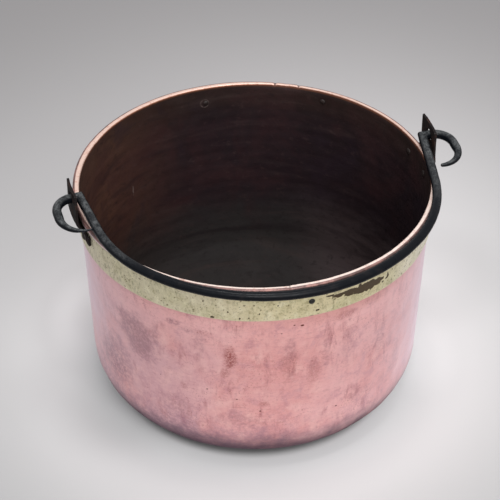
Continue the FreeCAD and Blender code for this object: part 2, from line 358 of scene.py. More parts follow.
def clouds(tree, place, size, detail, rough, distortion=0.0, stretch=(1, 1, 1)):
    """Noise whose patches are about a size across, in metres, squeezed by stretch."""
    scaled = vectors(tree, "MULTIPLY", place, tuple(s / size for s in stretch))
    return add(tree, "ShaderNodeTexNoise", {
        "Vector": scaled, "Scale": 1.0, "Detail": detail, "Roughness": rough,
        "Distortion": distortion}).outputs[0]


def between(tree, value, low, high, to_low=0.0, to_high=1.0):
    """Smoothly maps a value from one span to another."""
    return add(tree, "ShaderNodeMapRange", {
        "Value": value, "From Min": low, "From Max": high, "To Min": to_low, "To Max": to_high},
        interpolation_type="SMOOTHSTEP").outputs[0]


def blend(tree, share, first, second):
    """Mixes two colours by a share from 0 to 1."""
    inputs = {0: share}
    for key, colour in ((6, first), (7, second)):
        inputs[key] = colour if isinstance(colour, bpy.types.NodeSocket) else (*colour, 1.0)
    return add(tree, "ShaderNodeMix", inputs, data_type="RGBA").outputs[2]


def tinted(tree, colour, layers):
    """Lays tints over a colour in turn. Each goes by a field, from none where the field is low to
    its full share where it is high."""
    for field, low, high, share, tint in layers:
        colour = blend(tree, between(tree, field, low, high, 0.0, share), colour, tint)
    return colour


def attribute(tree, name):
    """The numbers stored on a mesh under a name."""
    return add(tree, "ShaderNodeAttribute", attribute_name=name).outputs["Fac"]


def part(tree, vector, axis):
    """X, Y or Z of a vector."""
    return add(tree, "ShaderNodeSeparateXYZ", {0: vector}).outputs[axis]


def magnitude(tree, vector):
    """Length of a vector."""
    return add(tree, "ShaderNodeVectorMath", {0: vector}, operation="LENGTH").outputs["Value"]


def from_axis(tree, place):
    """Distance from the pot's upright axis."""
    return magnitude(tree, vectors(tree, "MULTIPLY", place, (1, 1, 0)))


def off_by(tree, value, mark):
    """How far a value is from a mark, to either side."""
    return maths(tree, "ABSOLUTE", maths(tree, "SUBTRACT", value, mark))


def roughen(tree, shader, height, strength, distance):
    """Fine bumps in the shading, for what is too small to be in the mesh."""
    bump = add(tree, "ShaderNodeBump", {
        "Height": height, "Strength": strength, "Distance": distance})
    tree.links.new(bump.outputs[0], shader.inputs["Normal"])


def on_wall(degrees, height, radius):
    """A place round the pot from its angle, height and radius."""
    turn = math.radians(degrees)
    return (radius * math.cos(turn), radius * math.sin(turn), height)


def spot(tree, place, centre, size, ragged, edge):
    """A stain about a place, 1 in its middle, its outline torn by the ragged field."""
    tear_depth = 1.6
    away = vectors(tree, "DIVIDE", vectors(tree, "SUBTRACT", place, centre), size)
    tear = maths(tree, "MULTIPLY_ADD", ragged, tear_depth, -tear_depth / 2)
    return between(tree, maths(tree, "ADD", magnitude(tree, away), tear), 1.0, 1.0 - edge)


# Marks on the scoured copper: angle in degrees, height, half width and half length in metres, and
# strength. A speck has one size. The great stain, the scratch inside and the ring round one rivet
# inside are placed by angle, height and the radius of the wall there.
mauve_stains = [(-163.0, 0.094, 0.044, 0.042, 0.85), (-152.0, 0.160, 0.030, 0.024, 0.60),
                (-146.0, 0.138, 0.026, 0.024, 0.45), (-149.0, 0.149, 0.034, 0.034, 0.50),
                (-134.0, 0.190, 0.010, 0.007, 0.75), (-128.5, 0.185, 0.009, 0.006, 0.60),
                (-141.0, 0.163, 0.006, 0.026, 0.50), (-125.0, 0.170, 0.008, 0.030, 0.35),
                (-96.5, 0.165, 0.009, 0.026, 0.40), (-84.0, 0.160, 0.007, 0.040, 0.25),
                (-76.0, 0.150, 0.010, 0.044, 0.25), (-62.0, 0.135, 0.010, 0.036, 0.28),
                (-70.0, 0.080, 0.030, 0.016, 0.28), (-52.0, 0.090, 0.018, 0.030, 0.30),
                (-112.0, 0.072, 0.040, 0.014, 0.40), (-135.0, 0.080, 0.026, 0.018, 0.40),
                (20.0, 0.140, 0.026, 0.040, 0.45), (62.0, 0.090, 0.030, 0.026, 0.50),
                (110.0, 0.150, 0.022, 0.050, 0.45), (158.0, 0.120, 0.028, 0.036, 0.50)]
red_smudges = [(-115.3, 0.158, 0.009, 0.021, 0.90), (-117.0, 0.137, 0.008, 0.010, 0.55),
               (-123.5, 0.186, 0.012, 0.005, 0.30), (-96.0, 0.145, 0.012, 0.030, 0.30),
               (-88.0, 0.130, 0.010, 0.024, 0.30), (-78.0, 0.196, 0.020, 0.008, 0.45),
               (-66.0, 0.200, 0.022, 0.008, 0.35), (-104.0, 0.096, 0.008, 0.006, 0.50),
               (-131.0, 0.108, 0.006, 0.008, 0.40), (40.0, 0.180, 0.016, 0.020, 0.50),
               (135.0, 0.100, 0.012, 0.024, 0.50)]
copper_specks = [(-92.5, 0.1964, 0.0020), (-95.0, 0.1980, 0.0011), (-105.5, 0.0860, 0.0013),
                 (-123.0, 0.111, 0.0012), (-113.2, 0.1015, 0.0010), (-140.0, 0.1120, 0.0009),
                 (-79.0, 0.0745, 0.0012), (-99.0, 0.1890, 0.0009), (75.0, 0.1500, 0.0014)]
great_stain = (-148.5, 0.150, 0.1775)
inner_scratch = (122.2, 0.1528, 0.1757)
ringed_rivet = (90.5, 0.2303, 0.1792)


def copper_outside(tree, place, broad, middle, fine):
    """Scoured pink with salmon and mauve clouds, crossed rub marks, stains and mauve mottling low
    down. Painted shade darkens the left side and turns the lower edge dark purple, painted light
    lifts the upper wall, and a painted sheen pales the grazing edges."""
    strokes = clouds(tree, place, 0.0090, 4.0, 0.65, 0.4, (1, 1, 0.32))
    scour = clouds(tree, place, 0.0032, 4.0, 0.65, 0.3, (0.22, 0.22, 1))
    patches = clouds(tree, place, 0.040, 3.0, 0.55, 0.4)
    grain = clouds(tree, place, 0.0017, 3.0, 0.7)
    across, level = part(tree, place, "X"), part(tree, place, "Z")
    pink, salmon = (0.80, 0.445, 0.44), (0.75, 0.360, 0.345)
    mauve, peach = (0.52, 0.25, 0.29), (0.89, 0.57, 0.53)
    colour = blend(tree, between(tree, broad, 0.36, 0.64), salmon, pink)
    # Painted shade: the left side darker and mauver, in broad patches.
    left_side_shade = times(tree, between(tree, across, -0.06, -0.15),
                  between(tree, broad, 0.35, 0.60, 0.25, 0.75))
    colour = blend(tree, left_side_shade, colour, (0.64, 0.38, 0.41))
    colour = tinted(tree, colour, [
        # Painted light: the upper wall lighter towards the band.
        (level, 0.140, 0.200, 0.50, (0.92, 0.51, 0.49)),
        (middle, 0.50, 0.72, 0.45, peach),
        (middle, 0.50, 0.30, 0.52, mauve)])
    rubbed = times(tree, between(tree, strokes, 0.48, 0.70),
                   between(tree, patches, 0.40, 0.64, 0.15, 0.75))
    colour = blend(tree, rubbed, colour, (0.46, 0.19, 0.20))
    colour = tinted(tree, colour, [
        (scour, 0.52, 0.74, 0.32, (0.48, 0.21, 0.22)),
        (scour, 0.46, 0.26, 0.30, peach),
        (fine, 0.54, 0.74, 0.36, (0.47, 0.20, 0.21)),
        (fine, 0.44, 0.28, 0.22, (0.88, 0.60, 0.58))])
    dots = times(tree, between(tree, grain, 0.57, 0.68),
                 between(tree, patches, 0.44, 0.64, 0.15, 0.60))
    colour = blend(tree, dots, colour, (0.32, 0.10, 0.09))
    for marks, tint, ragged in ((mauve_stains, (0.36, 0.175, 0.20), fine),
                                (red_smudges, (0.32, 0.085, 0.075), grain)):
        for degrees, height, width, length, strength in marks:
            centre = on_wall(degrees, height, wall_outside(height))
            stain = spot(tree, place, centre, (width, width, length), middle, 0.75)
            worn = between(tree, ragged, 0.38, 0.60, 0.35 * strength, strength)
            colour = blend(tree, times(tree, stain, worn), colour, tint)
    great = spot(tree, place, on_wall(*great_stain), (0.027, 0.027, 0.029), broad, 0.45)
    great = times(tree, great, between(tree, fine, 0.35, 0.6, 0.3, 0.55))
    colour = blend(tree, great, colour, (0.38, 0.20, 0.22))
    for degrees, height, size in copper_specks:
        centre = on_wall(degrees, height, wall_outside(height))
        speck = spot(tree, place, centre, (size, size, size * 0.7), fine, 0.4)
        colour = blend(tree, speck, colour, (0.10, 0.02, 0.015))
    red_line = maths(tree, "MULTIPLY_ADD", middle, 0.016, level)
    red_line = times(tree, between(tree, red_line, 0.198, 0.214, 0.0, 0.34),
                     between(tree, across, -0.08, 0.02, 0.15, 1.0))
    colour = blend(tree, red_line, colour, (0.52, 0.19, 0.15))
    # Painted reflection: the edges seen at a grazing angle turn pale lavender, less so low on the
    # left and near the foot.
    grazing = add(tree, "ShaderNodeLayerWeight", {"Blend": 0.16}).outputs["Facing"]
    painted_sheen = times(tree, between(tree, grazing, 0.10, 0.60, 0.0, 0.85),
                 between(tree, level, 0.025, 0.07))
    low_left = times(tree, between(tree, across, -0.03, -0.12),
                     between(tree, level, 0.150, 0.070))
    painted_sheen = times(tree, painted_sheen, maths(tree, "MULTIPLY_ADD", low_left, -0.6, 1.0))
    colour = blend(tree, painted_sheen, colour, (0.93, 0.77, 0.86))
    uneven = maths(tree, "MULTIPLY_ADD", middle, 0.030, level)
    higher = maths(tree, "MULTIPLY_ADD", broad, -0.050, uneven)
    mottled = times(tree, between(tree, higher, 0.070, 0.022),
                    between(tree, fine, 0.35, 0.60, 0.30, 0.75))
    mottled = times(tree, mottled, between(tree, across, 0.05, -0.08, 0.35, 1.0))
    colour = blend(tree, mottled, colour, (0.32, 0.18, 0.24))
    # Painted shade: near-black purple along the bottom edge, its top wavering.
    bottom_shade = maths(tree, "MULTIPLY_ADD", fine, 0.012, uneven)
    return tinted(tree, colour, [(bottom_shade, 0.080, 0.042, 0.86, (0.064, 0.044, 0.064))])


def smoked_and_shaded_inside(tree, place, broad, middle, fine):
    """Smoke-dark, with painted light and shade: lighter brown on the left wall, which faces the
    light, and at the top, purple-black on the far wall. Greenish grey in the corner, redder on the
    floor."""
    bands = clouds(tree, place, 0.026, 3.0, 0.6, 0.8, (0.14, 0.14, 1))
    rings = clouds(tree, place, 0.0090, 4.0, 0.65, 0.5, (0.16, 0.16, 1))
    hammer = clouds(tree, place, 0.0060, 4.0, 0.65, 0.3, (0.7, 0.7, 1))
    across, level = part(tree, place, "X"), part(tree, place, "Z")
    out = from_axis(tree, place)
    # Painted light and shade: the left wall, which faces the light, lighter brown, the far wall
    # near black; the same again at the top of the wall.
    far_black, left_brown = (0.0150, 0.0086, 0.0108), (0.072, 0.0320, 0.0210)
    colour = blend(tree, between(tree, across, 0.00, -0.17), far_black, left_brown)
    top_black, top_brown = (0.021, 0.0120, 0.0090), (0.054, 0.0280, 0.0190)
    top_tint = blend(tree, between(tree, across, -0.05, -0.16), top_black, top_brown)
    colour = tinted(tree, colour, [
        (level, 0.195, 0.245, 0.70, top_tint),
        (broad, 0.42, 0.66, 0.45, (0.038, 0.0150, 0.0155)),
        (broad, 0.46, 0.30, 0.45, (0.018, 0.0105, 0.0160))])
    low = maths(tree, "MULTIPLY_ADD", middle, 0.04, level)
    low = maths(tree, "MULTIPLY_ADD", broad, 0.07, low)
    greenish = times(tree, between(tree, low, 0.180, 0.105),
                     between(tree, across, 0.14, -0.02, 0.90, 0.85))
    corner_grey, corner_pale = (0.030, 0.027, 0.026), (0.078, 0.057, 0.058)
    low_tint = blend(tree, between(tree, across, 0.075, 0.150), corner_grey, corner_pale)
    colour = blend(tree, greenish, colour, low_tint)
    base = times(tree, between(tree, out, 0.138, 0.112), between(tree, level, 0.03, 0.01))
    base_red, base_brown = (0.064, 0.023, 0.019), (0.044, 0.021, 0.018)
    base_tint = blend(tree, between(tree, middle, 0.40, 0.62), base_red, base_brown)
    colour = blend(tree, times(tree, base, 0.85), colour, base_tint)
    base_line = times(tree, between(tree, off_by(tree, out, 0.124), 0.0030, 0.0008),
                      between(tree, level, 0.03, 0.01, 0.0, 0.4))
    colour = blend(tree, base_line, colour, (0.018, 0.011, 0.011))
    colour = tinted(tree, colour, [
        (bands, 0.50, 0.32, 0.45, (0.013, 0.0080, 0.0100)),
        (bands, 0.54, 0.74, 0.30, (0.052, 0.034, 0.031)),
        (rings, 0.46, 0.28, 0.35, (0.012, 0.0075, 0.0080)),
        (rings, 0.58, 0.78, 0.20, (0.056, 0.037, 0.034)),
        (hammer, 0.56, 0.74, 0.32, (0.054, 0.032, 0.030)),
        (hammer, 0.46, 0.28, 0.45, (0.012, 0.0080, 0.0085)),
        (fine, 0.66, 0.80, 0.25, (0.080, 0.052, 0.045))])
    scratch = spot(tree, place, on_wall(*inner_scratch), (0.0009, 0.0009, 0.0078), fine, 0.5)
    colour = blend(tree, times(tree, scratch, 0.6), colour, (0.16, 0.12, 0.11))
    from_rivet = add(tree, "ShaderNodeVectorMath", {0: place, 1: on_wall(*ringed_rivet)},
                     operation="DISTANCE").outputs["Value"]
    ring = times(tree, between(tree, off_by(tree, from_rivet, 0.0046), 0.0010, 0.0003),
                 between(tree, fine, 0.40, 0.60, 0.1, 0.6))
    return blend(tree, ring, colour, (0.11, 0.080, 0.072))


def copper_material():
    """Scoured pink copper outside, smoke-brown inside with painted light and shade, and a fold
    between that is worn bright and paler towards the front with a painted reflection. The stored
    number inward is 0 where the inner wall begins, about -0.006 at the fold's outer bend and -0.013
    at the skirt's lower edge."""
    material, tree, place, shader = surface("scoured copper")
    across, along, level = (part(tree, place, axis) for axis in "XYZ")
    inward = attribute(tree, "inward")
    rubbed_in = maths(tree, "ADD", between(tree, across, -0.11, -0.17, -0.0007, 0.0012),
                      between(tree, along, -0.10, 0.10, 0.0004, 0.0))
    fold = maths(tree, "SUBTRACT", inward, rubbed_in)
    broad = clouds(tree, place, 0.075, 5.0, 0.6, 0.6)
    middle = clouds(tree, place, 0.018, 5.0, 0.65)
    fine = clouds(tree, place, 0.0035, 3.0, 0.7)
    pink = copper_outside(tree, place, broad, middle, fine)
    # The inside's colour: smoke, with painted light and shade on its walls.
    smoke = tinted(tree, smoked_and_shaded_inside(tree, place, broad, middle, fine), [
        (fold, 0.0026, 0.0008, 0.80, (0.110, 0.040, 0.021))])
    dark = between(tree, maths(tree, "MULTIPLY_ADD", fine, 0.0012, fold), -0.0002, 0.0010)
    lip = times(tree, between(tree, inward, -0.0128, -0.0100), between(tree, fold, 0.0016, 0.0))
    # The fold is worn bright, and paler towards the front with a painted reflection.
    dull_fold, pale_fold = (0.76, 0.55, 0.47), (0.93, 0.76, 0.68)
    worn_and_lit_fold = blend(tree, between(tree, along, 0.02, -0.12), dull_fold, pale_fold)
    dark_skirt, brown_skirt = (0.080, 0.036, 0.036), (0.27, 0.13, 0.115)
    skirt = blend(tree, between(tree, middle, 0.42, 0.60), dark_skirt, brown_skirt)
    bright = tinted(tree, worn_and_lit_fold, [
        (fine, 0.50, 0.72, 0.60, (0.54, 0.26, 0.20)),
        (middle, 0.60, 0.72, 0.55, (0.36, 0.16, 0.12)),
        (fold, -0.0014, -0.0004, 0.75, (0.42, 0.155, 0.085)),
        (inward, -0.0047, -0.0057, 0.92, skirt)])
    colour = blend(tree, dark, blend(tree, lip, pink, bright), smoke)
    # Darker in the nicks, most in the deepest.
    colour = tinted(tree, colour, [
        (attribute(tree, "nicked"), 0.35, 0.9, 0.90, (0.10, 0.045, 0.035))])
    dull = maths(tree, "MAXIMUM", times(tree, dark, 0.10),
                 between(tree, level, 0.045, 0.025, 0.0, 0.45))
    feed(tree, shader, {
        "Base Color": colour,
        "Metallic": between(tree, dark, 0.0, 1.0, 0.55, 0.05),
        "Roughness": maths(tree, "ADD", between(tree, middle, 0.3, 0.7, 0.36, 0.52), dull),
        "Specular IOR Level": 0.15})
    roughen(tree, shader, maths(tree, "ADD", middle, times(tree, fine, 0.6)), 0.35, 0.0006)
    return material


copper_pot = grown("copper_pot", vessel_mesh(), hammered_tree(), {
    "Blow Width": 0.017, "Blow Depth": 0.0005, "Dent Depth": 0.0010, "Dent Width": 0.09,
    "Material": copper_material()})
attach(copper_pot, "pot")
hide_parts("copper_vessel")

# Brass band: a strip bent to a hoop, its top edge trapped in the copper's fold and its lower edge
# free. Old, pitted and pale, with one long patch beside the front rivet where the bright skin
# has gone.
band_width = 0.040
band_bottom = band_top - band_width
edge_wander = 0.0006
bevel = 0.0006
band_around = 900

# Bare patches: angle in degrees, height, half length and half height in metres
bare_patches = [(-84.0, 0.2288, 0.0040, 0.0012), (-81.0, 0.2266, 0.0070, 0.0024),
                (-77.0, 0.2256, 0.0080, 0.0038), (-73.0, 0.2246, 0.0080, 0.0054),
                (-69.8, 0.2238, 0.0080, 0.0056), (-66.8, 0.2238, 0.0055, 0.0040),
                (-64.8, 0.2240, 0.0032, 0.0022), (-62.0, 0.2239, 0.0014, 0.0036),
                (-62.6, 0.2210, 0.0018, 0.0010), (-64.1, 0.2190, 0.0016, 0.0010),
                (-87.9, 0.2147, 0.0022, 0.0008), (-89.7, 0.2080, 0.0040, 0.0012),
                (-78.6, 0.2080, 0.0050, 0.0009), (-120.4, 0.2105, 0.0020, 0.0014),
                (-111.9, 0.2115, 0.0012, 0.0012), (-109.1, 0.2120, 0.0010, 0.0014),
                (-110.6, 0.2282, 0.0010, 0.0008), (-123.1, 0.2291, 0.0010, 0.0009),
                (-100.5, 0.2275, 0.0010, 0.0008), (-106.0, 0.2180, 0.0009, 0.0010),
                (-115.5, 0.2190, 0.0010, 0.0008), (35.0, 0.2200, 0.0160, 0.0030),
                (118.0, 0.2150, 0.0060, 0.0022), (160.0, 0.2260, 0.0100, 0.0020)]
patch_reach, patch_sharpness = 1.25, 2.5
bare_depth = 0.0004
# Pits open where a noise of this grain, in waves to a metre, rises past a level
pit_grain, pit_level, pit_gain = 420, 0.44, 3
pit_depth = 0.00035


def band_section():
    """Points round the strip's section, up its outer face and down its back."""
    section = [(wall_outside(band_bottom) + band_thickness - bevel, band_bottom)]
    bevel_top = band_bottom + bevel
    run_to(section, (wall_outside(bevel_top) + band_thickness, bevel_top), bevel)
    run_to(section, (band_radius, band_top), 0.0011)
    run_to(section, (wall_radius, band_top), band_thickness)
    run_to(section, (wall_outside(band_bottom), band_bottom), 0.010)
    return section


def band_mesh():
    """The strip's hoop, its free edge a little wavy, its outer face pitted and bare in patches."""
    coarse_tear, fine_tear = 260, 620
    struck_rise = (band_bottom, band_bottom + 0.004)
    struck_fall = (0.236, 0.243)
    turn = turns(band_around)
    radii, heights = spun_section(band_section(), band_around)
    outer = radii > wall_outside(heights) + band_thickness / 2
    near_edge = 1 - smooth_step(heights, band_bottom, band_bottom + 0.008)
    heights += near_edge * edge_wander * (0.6 + lip_wave(turn, 11))
    bare = np.zeros_like(radii)
    pits = np.zeros_like(radii)
    for i, j in np.argwhere(outer):
        z = heights[i, j]
        point = Vector((radii[i, j] * math.cos(turn[j]), radii[i, j] * math.sin(turn[j]), z))
        torn = noise.noise(point * coarse_tear) * 0.45 + noise.noise(point * fine_tear) * 0.3
        degrees = math.degrees(turn[j])
        for middle, height, half_length, half_height in bare_patches:
            across = (degrees - middle + 180) % 360 - 180
            across = math.radians(across) * band_radius / half_length
            if abs(across) < 2:
                far = math.hypot(across, (z - height) / half_height)
                share = (patch_reach - far + torn) * patch_sharpness
                bare[i, j] = max(bare[i, j], min(1, max(0, share)))
        pitted = noise.noise(point * pit_grain + Vector((7, 3, 1)))
        pits[i, j] = max(0, pitted - pit_level) * pit_gain
    radii -= outer * (bare * bare_depth + np.clip(pits, 0, 1) * pit_depth)
    struck = outer * within(heights, struck_rise, struck_fall)
    mesh = turned_mesh("brass_hoop", radii, heights, on_axis=False)
    for name, values in (("bare", bare), ("pits", pits), ("struck", struck)):
        give(mesh, name, values)
    return mesh


def brass_material():
    """Pale greenish brass with brown pits, long rub marks and bare brown patches."""
    material, tree, place, shader = surface("pitted brass")
    bare, pits = attribute(tree, "bare"), attribute(tree, "pits")
    broad = clouds(tree, place, 0.060, 4.0, 0.6, 0.5)
    middle = clouds(tree, place, 0.009, 4.0, 0.65)
    fine = clouds(tree, place, 0.0022, 3.0, 0.7)
    rubs = clouds(tree, place, 0.0040, 3.0, 0.6, 0.3, (1, 1, 0.35))
    across, level = part(tree, place, "X"), part(tree, place, "Z")
    front_brass, left_brass = (0.74, 0.645, 0.41), (0.70, 0.63, 0.47)
    colour = blend(tree, between(tree, across, -0.02, -0.15), front_brass, left_brass)
    colour = tinted(tree, colour, [
        # Painted light: the band much paler on its right side, where the light falls.
        (across, 0.06, 0.14, 1.0, (0.92, 0.86, 0.73)),
        (broad, 0.40, 0.64, 0.50, (0.57, 0.53, 0.30)),
        (middle, 0.50, 0.70, 0.75, (0.84, 0.77, 0.56)),
        (middle, 0.48, 0.28, 0.65, (0.35, 0.30, 0.16)),
        (rubs, 0.54, 0.72, 0.60, (0.29, 0.27, 0.16)),
        (rubs, 0.44, 0.24, 0.45, (0.84, 0.79, 0.58)),
        (fine, 0.54, 0.70, 0.60, (0.26, 0.20, 0.10)),
        # Painted highlight: a pale line where the lower edge's bevel catches the light.
        (level, band_bottom + 0.0022, band_bottom + 0.0012, 0.50, (0.80, 0.74, 0.52)),
        (pits, 0.10, 0.60, 0.75, (0.13, 0.095, 0.04)),
        (bare, 0.35, 0.65, 1.0, (0.055, 0.036, 0.018))])
    feed(tree, shader, {
        "Base Color": colour,
        "Metallic": between(tree, between(tree, bare, 0.3, 0.7), 0.0, 1.0, 0.65, 0.1),
        "Roughness": maths(tree, "MULTIPLY_ADD", middle, 0.25, 0.30),
        "Specular IOR Level": 0.25})
    roughen(tree, shader, maths(tree, "ADD", middle, fine), 0.4, 0.0005)
    return material


brass_hoop = grown("brass_hoop", band_mesh(), hammered_tree(), {
    "Blow Width": 0.014, "Blow Depth": 0.0003, "Dent Depth": 0.0004, "Dent Width": 0.05,
    "Material": brass_material()})
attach(brass_hoop, "pot")
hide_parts("brass_band")

# Iron ears: a thick strap forged to an upright blade with a pivot hole, set out in a jog under the
# fold and spread into two riveted wings on the band. Black-brown, hammered, with edges rubbed
# bright, which is partly a painted highlight.
ear_voxel = 0.0006
flakes_per_metre = 420.0


def joined_copy(node):
    """A copy of a CAD node's mesh with its loose triangles joined."""
    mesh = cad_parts[node].data.copy()
    joined = bmesh.new()
    joined.from_mesh(mesh)
    bmesh.ops.remove_doubles(joined, verts=joined.verts, dist=1e-6)
    joined.to_mesh(mesh)
    joined.free()
    mesh.materials.clear()
    return mesh


def even_skin(size):
    """A step that lays an even skin of small faces over a piece, edges a little eased."""
    def apply(source):
        """Adds the two modifiers to the piece."""
        skin = source.modifiers.new("skin", "REMESH")
        skin.mode = "VOXEL"
        skin.voxel_size = size
        ease = source.modifiers.new("ease", "SMOOTH")
        ease.factor = 0.5
        ease.iterations = 2
    return apply


def forged_tree():
    """Flats left by the hammer on hot iron, and fine scale. It only takes iron away."""
    tree, given = geometry_tree("forged flats", [
        ("Flat Width", "NodeSocketFloat"), ("Flat Depth", "NodeSocketFloat"),
        ("Scale Depth", "NodeSocketFloat"), ("Material", "NodeSocketMaterial")])
    place = add(tree, "GeometryNodeInputPosition").outputs[0]
    flats = add(tree, "ShaderNodeTexVoronoi", {
        "Vector": place, "Scale": maths(tree, "DIVIDE", 1.0, given["Flat Width"])},
        feature="SMOOTH_F1")
    scale = add(tree, "ShaderNodeTexNoise", {
        "Vector": place, "Scale": flakes_per_metre, "Detail": 2.0})
    sunk = maths(tree, "SUBTRACT", 1.0, flats.outputs["Distance"])
    sunk = times(tree, sunk, given["Flat Depth"])
    sunk = maths(tree, "MULTIPLY_ADD", scale.outputs[0], given["Scale Depth"], sunk)
    hammered = pushed(tree, given["Geometry"], times(tree, sunk, -1.0))
    end_tree(tree, hammered, given["Material"])
    return tree


def iron_material(name, black, brown, brown_share, roughness, gloss, grain=0.4, rust_spots=(),
                  smoked_within=0.0, upper_highlight_beyond=0.0):
    """Forge-black iron with brown rust in patches and edges rubbed to grey, partly a painted
    highlight.
    Inside the pot it takes the smoke, and towards the hooks its upward-facing side is painted grey
    as a highlight."""
    material, tree, place, shader = surface(name)
    middle = clouds(tree, place, 0.010, 4.0, 0.6)
    fine = clouds(tree, place, 0.0016, 3.0, 0.7)
    rusted = between(tree, middle, 0.60 - brown_share, 0.80 - brown_share)
    colour = blend(tree, rusted, black, brown)
    fresh_rust = tuple(2.2 * c for c in brown)
    colour = tinted(tree, colour, [(fine, 0.62, 0.80, 0.50, fresh_rust)])
    # Edges rubbed grey: partly real wear, partly a painted highlight along them.
    edge = add(tree, "ShaderNodeNewGeometry").outputs["Pointiness"]
    rubbed = times(tree, between(tree, edge, 0.53, 0.60),
                   between(tree, middle, 0.35, 0.6, 0.3, 0.8))
    colour = blend(tree, rubbed, colour, (0.16, 0.15, 0.14))
    # Painted highlight: towards the hooks the upward-facing side turns grey, in patches.
    if upper_highlight_beyond:
        upper_highlight_fully = upper_highlight_beyond + 0.035
        aside = maths(tree, "ABSOLUTE", part(tree, place, "X"))
        facing = add(tree, "ShaderNodeTexCoord").outputs["Normal"]
        worn = times(tree, between(tree, aside, upper_highlight_beyond, upper_highlight_fully),
                     between(tree, part(tree, facing, "Z"), 0.45, 1.0))
        worn = times(tree, worn, between(tree, fine, 0.35, 0.62, 0.20, 1.0))
        worn = times(tree, worn, between(tree, middle, 0.36, 0.60, 0.25, 1.0))
        colour = blend(tree, worn, colour, (0.092, 0.096, 0.098))
    for centre, size in rust_spots:
        rusty = spot(tree, place, centre, (size, size, size), fine, 0.6)
        colour = blend(tree, rusty, colour, (0.20, 0.15, 0.12))
    if smoked_within:
        soot, smoke = (0.016, 0.010, 0.009), (0.026, 0.017, 0.015)
        smoky = blend(tree, between(tree, fine, 0.45, 0.65), soot, smoke)
        inside = between(tree, from_axis(tree, place), smoked_within, smoked_within - 0.0005)
        colour = blend(tree, inside, colour, smoky)
    feed(tree, shader, {
        "Base Color": colour,
        "Roughness": between(tree, middle, 0.3, 0.7, roughness - 0.06, roughness + 0.14),
        "Specular IOR Level": gloss})
    roughen(tree, shader, maths(tree, "ADD", middle, fine), grain, 0.0004)
    return material


forged = forged_tree()
ear_iron = iron_material("ear iron", (0.011, 0.008, 0.008), (0.036, 0.017, 0.013),
                         brown_share=0.10, roughness=0.72, gloss=0.10)
for side in ("right", "left"):
    ear = grown("iron_ear_" + side, joined_copy("ear_" + side), forged, {
        "Flat Width": 0.009, "Flat Depth": 0.0003, "Scale Depth": 0.0002,
        "Material": ear_iron},
        even_skin(ear_voxel))
    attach(ear, "pot")
    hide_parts("ear_" + side)

# Rivets: iron, set hot from inside, their heads hammered to low buttons with a few flats each.
# Four hold the ears' wings and three hold the band between the ears.
rivet_ring = 20
dome_steps = 8
dome_fullness = 0.8
shank_share, clinch_share = 0.62, 0.9
clinch_height, clinch_bevel = 0.001, 0.0004
flats_per_metre = 420.0
# Each kind's nodes, its head's radius and height, and how thick what it holds outside the wall is
rivet_kinds = {
    "ear_rivets": (("ear_rivet_right_front", "ear_rivet_right_back",
                    "ear_rivet_left_front", "ear_rivet_left_back"), 0.0040, 0.0022, 0.0055),
    "band_rivets": (("band_rivet_front", "band_rivet_back", "band_rivet_back_right"),
                    0.0032, 0.0016, 0.0025),
}


def rivet_mesh(head_radius, head_height, grip):
    """One rivet along Z: clinched end, shank and button head, its seat at the origin."""
    shank = head_radius * shank_share
    inside = -grip - copper_wall
    clinch = inside - clinch_height
    section = [(0.0, clinch), (head_radius * clinch_share, clinch),
               (head_radius, inside - clinch_bevel), (head_radius, inside), (shank, inside),
               (shank, 0.0), (head_radius, 0.0)]
    for i in range(1, dome_steps + 1):
        angle = i / dome_steps * math.pi / 2
        radius = head_radius * math.cos(angle) ** dome_fullness
        section.append((radius, head_height * math.sin(angle)))
    section[-1] = (0.0, head_height)
    return turned_mesh("rivet", *spun_section(section, rivet_ring), on_axis=True)


def rivet_tree():
    """One rivet on each point of a mesh, its head facing the stored way and hammered in flats."""
    tree, given = geometry_tree("set rivets", [
        ("Rivet", "NodeSocketObject"), ("Flat Depth", "NodeSocketFloat"),
        ("Material", "NodeSocketMaterial")])
    rivet = add(tree, "GeometryNodeObjectInfo", {"Object": given["Rivet"]})
    outward = add(tree, "GeometryNodeInputNamedAttribute", {0: "outward"},
                  data_type="FLOAT_VECTOR").outputs[0]
    turn = add(tree, "FunctionNodeAlignRotationToVector", {"Vector": outward}, axis="Z")
    points = add(tree, "GeometryNodeMeshToPoints", {"Mesh": given["Geometry"]})
    placed = add(tree, "GeometryNodeInstanceOnPoints", {
        "Points": points.outputs[0], "Instance": rivet.outputs["Geometry"],
        "Rotation": turn.outputs[0]})
    real = add(tree, "GeometryNodeRealizeInstances", {0: placed.outputs[0]})
    place = add(tree, "GeometryNodeInputPosition").outputs[0]
    flats = add(tree, "ShaderNodeTexVoronoi", {"Vector": place, "Scale": flats_per_metre})
    sunk = maths(tree, "SUBTRACT", flats.outputs["Distance"], 1.0)
    hammered = pushed(tree, real.outputs[0], times(tree, sunk, given["Flat Depth"]))
    end_tree(tree, hammered, given["Material"])
    return tree


def rivet_places(nodes, grip):
    """A mesh of bare points at the rivets' seats, with the way each head faces."""
    seats, outward = [], []
    for node in nodes:
        low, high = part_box(node)
        middle = (low + high) / 2
        turn = math.atan2(middle.y, middle.x)
        radius = wall_outside(middle.z) + grip
        seats.append((radius * math.cos(turn), radius * math.sin(turn), middle.z))
        outward.append((math.cos(turn) * math.cos(wall_lean),
                        math.sin(turn) * math.cos(wall_lean), -math.sin(wall_lean)))
    mesh = bpy.data.meshes.new("seats")
    mesh.from_pydata(seats, [], [])
    facing = mesh.attributes.new("outward", "FLOAT_VECTOR", "POINT")
    facing.data.foreach_set("vector", np.array(outward, np.float32).ravel())
    return mesh


